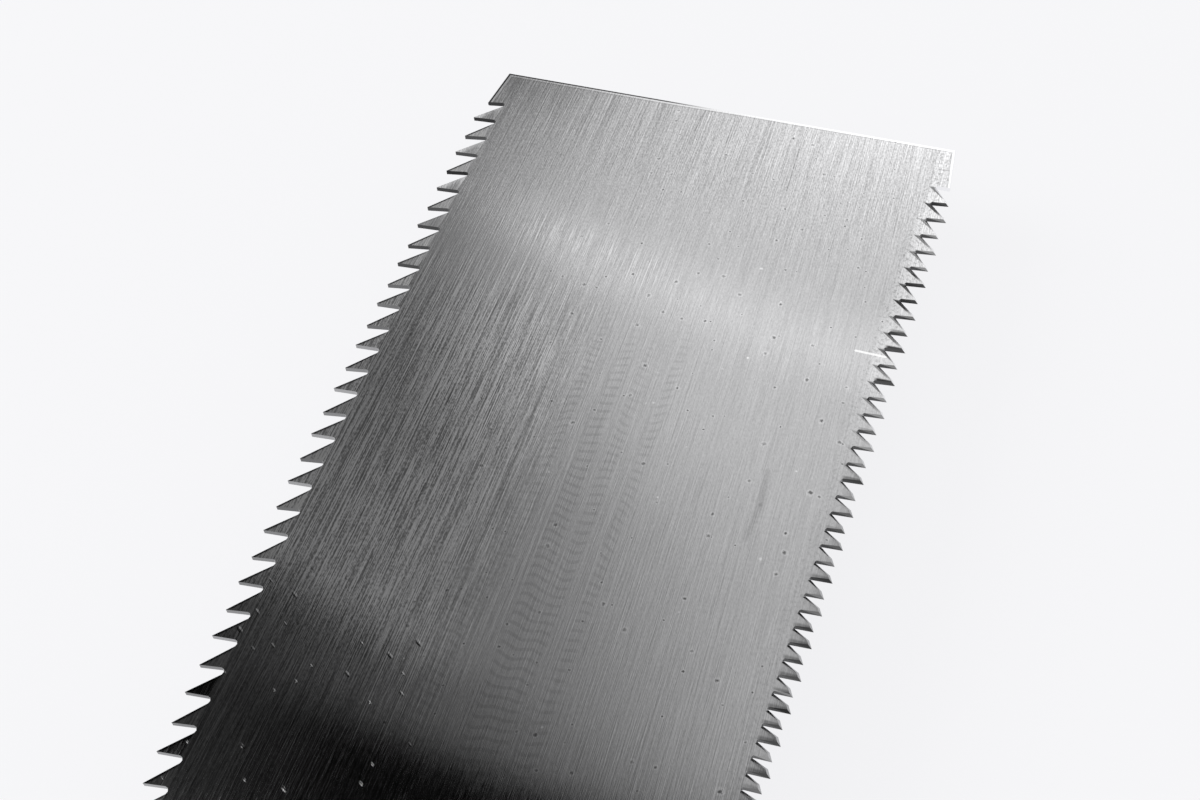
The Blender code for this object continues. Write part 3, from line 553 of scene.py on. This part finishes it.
def paintedRimLight(at, tone):
    # edges of the toe and of the plain lands, painted light: a pale highlight line inside a dark hairline of
    # painted shade, and a band of painted shade further in
    look, hair = bladeLook["rim"], bladeLook["hairline"]
    shallow, deeper = bladeLook["landDepth"]
    skew = bladeLook["corner"][0]
    inside = at.along + at.y * bladeLook["toeSkew"]
    for edge, depth, end in (("rip", at.ripDepth, skew), ("cut", at.cutDepth + look["cutSide"], -skew)):
        land = bladeLook[edge]["land"]
        landIn = depth - shallow - (land - at.along) * (deeper / (land + end))
        inside = inside.least(landIn + at.along.above(land) * away)
    inner, soft = at.y.rise(*look["y"]).between(*look["inner"]), look["soft"]
    fade, end = (inner + share for share in look["groove"])
    tone = tone * (1 - inside.window(inner, inner + soft, fade, end) * look["loss"])
    paintedEdgeHighlight = inside.rise(inner + soft, inner - soft) * at.y.rise(*look["paleY"]).between(*look["pale"])
    hairline = inside.rise(*hair["inside"]) * at.y.rise(*hair["y"])
    return hairline.between(paintedEdgeHighlight.between(tone, 1.0), hair["tone"])


def crosscutTone(at, tone):
    # flats of the crosscut teeth, with painted shade: a dark crescent inside the back, some dark at the rake,
    # greyer towards the heel
    look, edge = bladeLook["crosscut"], bladeLook["cut"]
    graded = at.along.least(edge["graded"])
    depth, deeper = bladeLook["cutDepth"]
    part = at.cutTooth.fraction()  # 0 at the gullet, 1 at the point
    fromBack = at.cutDepth - (1 - part) * (depth + graded * deeper)
    wedge = part.between(*look["wedge"])
    shadeCrescent = fromBack.rise(wedge, wedge - look["soft"]) * part.window(*look["part"])
    shadeCrescent = shadeCrescent * at.heel.between(1.0, look["atHeel"]) * at.depthChance.between(*look["chance"])
    fromRake = (1 - part) * (edge["pitch"] + graded * edge["grade"])
    rakeShade = fromRake.rise(*look["rake"]) * at.cutDepth.rise(*look["rakeDepth"]) * at.darkRake
    paintedToothShade = shadeCrescent.most(rakeShade) * at.heel.between(*look["loss"])
    # painted shade: greyer near the tooth points towards the heel
    worn = at.cutDepth.rise(*look["worn"]) * at.heel * at.depthChance.between(*look["wornLoss"])
    return tone * (1 - paintedToothShade * at.onCut) * (1 - worn * at.onCut)


def ripTone(at, tone):
    # flats of the rip teeth, painted light and shade: every other one pale with a dark back, the odd ones
    # dark at the back towards the heel, and near the toe dark at the base with a painted gleam on the back
    look, edge = bladeLook["ripFlats"], bladeLook["rip"]
    onOdd = at.onRip * (1 - at.even)
    pitch = edge["pitch"] + at.along * edge["grade"]
    fromBack = at.ripDepth - (1 - at.ripTooth.fraction()) * pitch * look["slope"]
    backShade = at.onRip * at.even + onOdd * at.along.rise(*look["oddAlong"]) * look["odd"]
    tone = tone * (1 + at.onRip * at.even.between(*look["tone"]))
    tone = tone * (1 - fromBack.rise(*look["back"]) * backShade * look["backLoss"])
    tone = tone * (1 - at.zone(at.ripDepth, look["base"], look["baseAlong"]) * onOdd * look["baseLoss"])
    return tone * (1 + at.zone(fromBack, look["gleam"], look["gleamAlong"]) * onOdd * look["gleamGain"])


def filedTone(at):
    # filed faces of the teeth, painted shade and highlights: dark, each tooth a little different, some rakes
    # and backs pale
    look = bladeLook["filed"]
    rake = 1 - at.back
    paleRake = at.level.rise(*look["rake"]) * at.chance * (1 - at.darkRake * at.onCut) * look["rakeGain"]
    ripRake = at.zone(at.y, look["ripY"], look["ripAlong"]) * at.chance.between(*look["ripGain"])
    paleBack = at.level.rise(*look["back"]) * at.onCut * at.heel.between(*look["backGain"])
    return at.chance.between(*look["tone"]) + rake * (paleRake + ripRake) + at.back * paleBack


def bladeFinish():
    material, shader, place = newFinish("bladeSteel", {"Metallic": 1.0})
    at = BladeSpot(place)
    lines = {}
    for name, (alongRate, acrossRate, detail, rough, turn) in bladeLook["lines"].items():
        lines[name] = place.noise((alongRate, acrossRate, 0.0), detail, rough, turn=turn)
    tone = groundTone(at, lines) * (1 - chatterMarks(at, lines["grain"]))
    tone = ripTone(at, crosscutTone(at, paintedRimLight(at, wornTone(at, tone))))
    # painted light on the chamfers: dark on the rip side, pale on the crosscut side
    chamfer = bladeLook["chamfer"]
    tone = at.chamfer.between(tone, at.y.rise(*chamfer["y"]).between(*chamfer["tone"]))
    # painted shade and highlights on the filed faces
    tone = at.filed.between(tone, filedTone(at))

    # the even rip teeth near the toe lean the other way
    bent = bladeLook["bent"]
    lean = (bent["depth"] - at.ripDepth).most(0.0) * at.even
    lean = lean * at.along.rise(*bent["toe"]) * at.along.rise(*bent["land"])
    height = lean * bent["relief"] + nickMarks(at)
    for name, share in bladeLook["relief"].items():
        height = height + lines[name] * share
    rough = bladeLook["rough"] + (lines["short"] - 0.5) * bladeLook["lineRough"]
    feed(shader, {"Base Color": steelColour(tone, bladeLook["blue"]),
                  "Roughness": rough + at.filed * bladeLook["filedRough"],
                  "Normal": bump(height * (1 - at.filed), bladeLook["reliefDepth"])})
    return material


# Clamp: satin steel, brushed lengthwise
clampLook = {
    "tone": 0.4, "blue": 1.02, "rough": 0.34, "depth": 4e-6,
    "brush": (300.0, 5000.0, 5000.0), "brushed": 0.2,
    "cloud": (60.0, 60.0, 60.0), "clouded": 0.1,
}


def clampFinish():
    material, shader, place = newFinish("clampSteel", {"Metallic": 1.0})
    grain = place.noise(clampLook["brush"], 3.0, 0.6)
    brushed = (grain - 0.5) * clampLook["brushed"]
    clouded = (place.noise(clampLook["cloud"], 3.0) - 0.5) * clampLook["clouded"]
    feed(shader, {"Base Color": steelColour(clampLook["tone"] + brushed + clouded, clampLook["blue"]),
                  "Roughness": clampLook["rough"] + brushed, "Normal": bump(grain, clampLook["depth"])})
    return material


# Nickel plate; the screw's shank carries its thread, with painted shade in its grooves
nickelLook = {
    "dull": grey(0.56, 0.05), "bright": grey(0.68, 0.04), "groove": grey(0.12), "grooved": 0.7,
    "rough": (0.2, 0.32), "cloud": (260.0, 260.0, 260.0),
    "fine": (4000.0, 4000.0, 4000.0), "fineRelief": 0.01,
    "screwX": 11.8, "shank": 2.56, "shankEdge": 0.05, "pitch": 0.8, "threadDepth": 0.25,  # mm
}


def nickelFinish():
    material, shader, place = newFinish("nickelPlate", {"Metallic": 1.0})
    x, y, z = (side * 1000 for side in place.axes())
    x = x - nickelLook["screwX"]
    cloud = place.noise(nickelLook["cloud"], 4.0, 0.6)
    fine = place.noise(nickelLook["fine"])
    radius = nickelLook["shank"]
    shank = (x * x + y * y).rise((radius + nickelLook["shankEdge"]) ** 2, radius ** 2)
    thread = (z * (2 * math.pi / nickelLook["pitch"]) - y.angle(x)).sine() * shank
    colour = cloud.blend(nickelLook["dull"], nickelLook["bright"])
    # painted shade in the thread's grooves
    colour = (thread.rise(0.0, -1.0) * nickelLook["grooved"]).blend(colour, nickelLook["groove"])
    height = thread + fine * nickelLook["fineRelief"]
    feed(shader, {"Base Color": colour, "Roughness": cloud.between(*nickelLook["rough"]),
                  "Normal": bump(height, nickelLook["threadDepth"] * mm)})
    return material


# Collars: blued steel, turned
bluedLook = {
    "dark": (0.055, 0.06, 0.075, 1.0), "light": (0.11, 0.115, 0.135, 1.0), "rough": (0.28, 0.42),
    "cloud": (180.0, 180.0, 180.0), "turned": (6000.0, 90.0, 90.0), "depth": 3e-6,
}


def bluedFinish():
    material, shader, place = newFinish("bluedSteel", {"Metallic": 1.0})
    cloud = place.noise(bluedLook["cloud"], 4.0, 0.6)
    turned = place.noise(bluedLook["turned"])
    feed(shader, {"Base Color": cloud.blend(bluedLook["dark"], bluedLook["light"]),
                  "Roughness": turned.between(*bluedLook["rough"]),
                  "Normal": bump(turned, bluedLook["depth"])})
    return material


# Handle core: plain oiled wood
woodLook = {
    "early": (0.66, 0.46, 0.27, 1.0), "late": (0.46, 0.27, 0.13, 1.0), "pore": (0.36, 0.21, 0.1, 1.0),
    "rough": (0.42, 0.54), "depth": 2.5e-5, "relief": (0.6, 0.4),  # of pores and late wood
    "rings": (3.0, 260.0, 420.0), "ringed": 9, "ringTurn": 0.03, "lateFrom": (0.35, 0.95),
    "warp": (9.0, 60.0, 60.0), "warped": 2,
    "pores": (120.0, 6000.0, 6000.0), "poreFrom": (0.55, 0.72),
}


def woodFinish():
    material, shader, place = newFinish("handleWood", {"Coat Weight": 0.15, "Coat Roughness": 0.3})
    rings = place.noise(woodLook["rings"], turn=woodLook["ringTurn"]) * woodLook["ringed"]
    pores = place.noise(woodLook["pores"], 2.0, 0.6)
    late = (rings + place.noise(woodLook["warp"]) * woodLook["warped"]).fraction().rise(*woodLook["lateFrom"])
    colour = late.blend(woodLook["early"], woodLook["late"])
    colour = pores.rise(*woodLook["poreFrom"]).blend(colour, woodLook["pore"])
    poreRelief, lateRelief = woodLook["relief"]
    feed(shader, {"Base Color": colour, "Roughness": late.between(*woodLook["rough"]),
                  "Normal": bump(pores * poreRelief + late * lateRelief, woodLook["depth"])})
    return material


# Cane skin, mapped along the strip
caneLook = {
    "fresh": (0.7, 0.49, 0.25, 1.0), "rough": (0.34, 0.5),
    "relief": {"grain": 0.6, "fibre": 0.4}, "depth": 3e-5,
    "noises": {  # to a turn and to a width, detail, roughness, shift
        "grain": ((5.0, 34.0, 0.0), 3.0, 0.65, (0.0, 0.0, 0.0)),
        "fibre": ((1.6, 14.0, 0.0), 2.0, 0.5, (3.0, 0.0, 0.0)),
        "age": ((0.9, 0.6, 0.0), 3.0, 0.6, (0.0, 0.0, 0.0)),
        "knot": ((9.0, 0.4, 0.0), 1.0, 0.5, (0.0, 7.0, 0.0)),
    },
    "layers": (  # from, to, share, colour
        ("age", 0.32, 0.68, 1.0, (0.55, 0.34, 0.14, 1.0)),
        ("fibre", 0.46, 0.7, 0.55, (0.78, 0.6, 0.34, 1.0)),
        ("grain", 0.52, 0.72, 0.75, (0.42, 0.24, 0.09, 1.0)),
        ("knot", 0.76, 0.82, 0.6, (0.3, 0.16, 0.06, 1.0)),
        ("edge", 0.4, 0.5, 0.6, (0.2, 0.11, 0.045, 1.0)),
    ),
}


def caneFinish():
    material, shader, place = newFinish("caneSkin", {"Coat Weight": 0.35, "Coat Roughness": 0.22})
    strip = Wire(place.tree).node("ShaderNodeUVMap", {"uv_map": "strip"}, {})
    marks = {name: strip.noise(*settings) for name, settings in caneLook["noises"].items()}
    marks["edge"] = (strip.axes()[1] - 0.5).absolute()
    colour = caneLook["fresh"]
    for name, low, high, share, tint in caneLook["layers"]:
        colour = (marks[name].rise(low, high) * share).blend(colour, tint)
    height = 0.0
    for name, share in caneLook["relief"].items():
        height = height + marks[name] * share
    feed(shader, {"Base Color": colour, "Roughness": marks["grain"].between(*caneLook["rough"]),
                  "Normal": bump(height, caneLook["depth"])})
    return material


# Butt cap: dark horn
hornLook = {
    "dark": (0.02, 0.018, 0.017, 1.0), "light": (0.075, 0.06, 0.05, 1.0), "lightFrom": (0.45, 0.75),
    "rough": (0.24, 0.4), "cloud": (40.0, 160.0, 320.0), "depth": 1e-5,
}


def hornFinish():
    material, shader, place = newFinish("buttHorn", {"Coat Weight": 0.2, "Coat Roughness": 0.15})
    cloud = place.noise(hornLook["cloud"], 4.0, 0.6)
    colour = cloud.rise(*hornLook["lightFrom"]).blend(hornLook["dark"], hornLook["light"])
    feed(shader, {"Base Color": colour, "Roughness": cloud.between(*hornLook["rough"]),
                  "Normal": bump(cloud, hornLook["depth"])})
    return material


def dressCad(name, material):
    slots = frame["nodes"][name].data.materials
    slots.clear()
    slots.append(material)


smoothAngle = math.radians(50)  # sharper edges than this stay crisp


def addPiece(name, bm, node, material):
    # a finished piece that stands for a CAD node and rides on its body
    bmesh.ops.recalc_face_normals(bm, faces=bm.faces)
    mesh = bpy.data.meshes.new(name)
    bm.to_mesh(mesh)
    bm.free()
    mesh.materials.append(material)
    mesh.shade_smooth()
    mesh.set_sharp_from_angle(angle=smoothAngle)
    piece = bpy.data.objects.new(name, mesh)
    scene.collection.objects.link(piece)
    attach(piece, bodyOf[node])
    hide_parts(node)
    return piece


# Metal and wooden pieces: the CAD shapes with their sharp edges eased
eased = {  # width of the rounding in mm
    "clamp_cheek_upper": 0.22, "clamp_cheek_lower": 0.22,
    "clamp_spacer_rip": 0.06, "clamp_spacer_crosscut": 0.06,
    "clamp_rivet_1": 0.08, "clamp_rivet_2": 0.08, "clamp_rivet_3": 0.08, "clamp_rivet_4": 0.08,
    "lock_screw": 0.09, "lock_washer": 0.12, "lock_nut": 0.16,
    "handle_pin_front": 0.2, "handle_pin_rear": 0.2,
    "front_ferrule": 0.18, "rear_collar": 0.18, "butt_cap": 0.3,
    "handle_core_upper": 0.12, "handle_core_lower": 0.12,
}
flatAngle = math.radians(1.0)  # facets closer than this are joined
sharpAngle = math.radians(28)  # edges sharper than this are eased


def easeEdges(node, width, material):
    bm = bmesh.new()
    bm.from_mesh(frame["nodes"][node].data)
    bmesh.ops.remove_doubles(bm, verts=bm.verts, dist=weld)
    bmesh.ops.dissolve_limit(bm, angle_limit=flatAngle, verts=bm.verts, edges=bm.edges)
    sharp = [edge for edge in bm.edges if edge.is_manifold and edge.calc_face_angle() > sharpAngle]
    bmesh.ops.bevel(bm, geom=sharp, offset=width * mm, offset_type='OFFSET', affect='EDGES', segments=3,
                    profile=0.5, material=-1, clamp_overlap=True)
    first, *rest = node.split("_")
    return addPiece(first + "".join(word.title() for word in rest), bm, node, material)


# Cane: one strip wound closely round the grip, with a rounded skin
cane = {  # mm
    "front": -18.2, "rear": -197.7,  # between ferrule and collar
    "middle": 14.4, "oval": 0.8,
    "inner": 14.25, "outer": 15.35,
    "turns": 50, "gap": 0.12, "steps": 64,
    "crown": (  # shares of width and thickness
        (0.0, 0.0), (0.0, 0.5), (0.05, 0.72), (0.14, 0.88), (0.3, 0.97), (0.5, 1.0),
        (0.7, 0.97), (0.86, 0.88), (0.95, 0.72), (1.0, 0.5), (1.0, 0.0),
    ),
}


def woundCane(material):
    pitch = (cane["front"] - cane["rear"] + cane["gap"]) / cane["turns"]
    width = pitch - cane["gap"]
    loops = cane["turns"] - 1
    bm = bmesh.new()
    strip = []
    for across, high in cane["crown"]:
        radius = cane["inner"] + high * (cane["outer"] - cane["inner"])
        strip.append(bm.verts.new(((cane["front"] - across * width) * mm, 0.0, radius * mm)))
    edges = [bm.edges.new((one, other)) for one, other in zip(strip, strip[1:] + strip[:1])]
    bmesh.ops.spin(bm, geom=strip + edges, cent=(0.0, 0.0, 0.0), axis=(1.0, 0.0, 0.0),
                   dvec=(-pitch / cane["steps"] * mm, 0.0, 0.0), angle=2 * math.pi, steps=cane["steps"],
                   use_merge=False)
    loop = bm.verts[:] + bm.edges[:] + bm.faces[:]
    for number in range(1, loops):
        copied = bmesh.ops.duplicate(bm, geom=loop)["geom"]
        verts = [item for item in copied if isinstance(item, bmesh.types.BMVert)]
        bmesh.ops.translate(bm, vec=(-pitch * number * mm, 0.0, 0.0), verts=verts)
    bmesh.ops.remove_doubles(bm, verts=bm.verts, dist=weld)
    bmesh.ops.holes_fill(bm, edges=[edge for edge in bm.edges if edge.is_boundary])
    # the map runs along the strip in turns and across it from 0 to 1
    slack = 0.004  # turns, so that the front edge counts to its own turn
    layer = bm.loops.layers.uv.new("strip")
    for face in bm.faces:
        for corner in face.loops:
            spot = corner.vert.co
            turn = math.atan2(-spot.y, spot.z) / (2 * math.pi) % 1.0
            back = (cane["front"] * mm - spot.x) / (pitch * mm) - turn
            whole = math.floor(back + slack)
            corner[layer].uv = (whole + turn, (back - whole) * pitch / width)
    bmesh.ops.scale(bm, vec=(1.0, 1.0, cane["oval"]), verts=bm.verts)
    bmesh.ops.translate(bm, vec=(0.0, 0.0, cane["middle"] * mm), verts=bm.verts)
    return addPiece("caneBinding", bm, "cane_wrap", material)


makeFloor()
makeStudio()
camera = makeCamera()
skew, half, top = bladeLook["corner"]
corners = ((bladeLook["toe"] + skew, half, top), (bladeLook["toe"] - skew, -half, top))
print("camera: toe corners at", *(framed(camera, [side * mm for side in corner]) for corner in corners))

finishes = {
    "blade_steel": bladeFinish(), "clamp_steel": clampFinish(), "screw_plate": nickelFinish(),
    "collar_steel": bluedFinish(), "handle_wood": woodFinish(), "cane": caneFinish(),
    "butt_cap": hornFinish(),
}
slotOf = {row["node"]: row["material_slot"] for row in frame["record"]["subparts"]}
bodyOf = {node: body for body, nodes in frame["record"]["behaviour"]["bodies"].items() for node in nodes}
for node, slot in slotOf.items():
    dressCad(node, finishes[slot])
print("finishes:", len(finishes))

for node, width in eased.items():
    easeEdges(node, width, finishes[slotOf[node]])
print("eased pieces:", len(eased))
binding = woundCane(finishes["cane"])
print("cane faces:", len(binding.data.polygons))
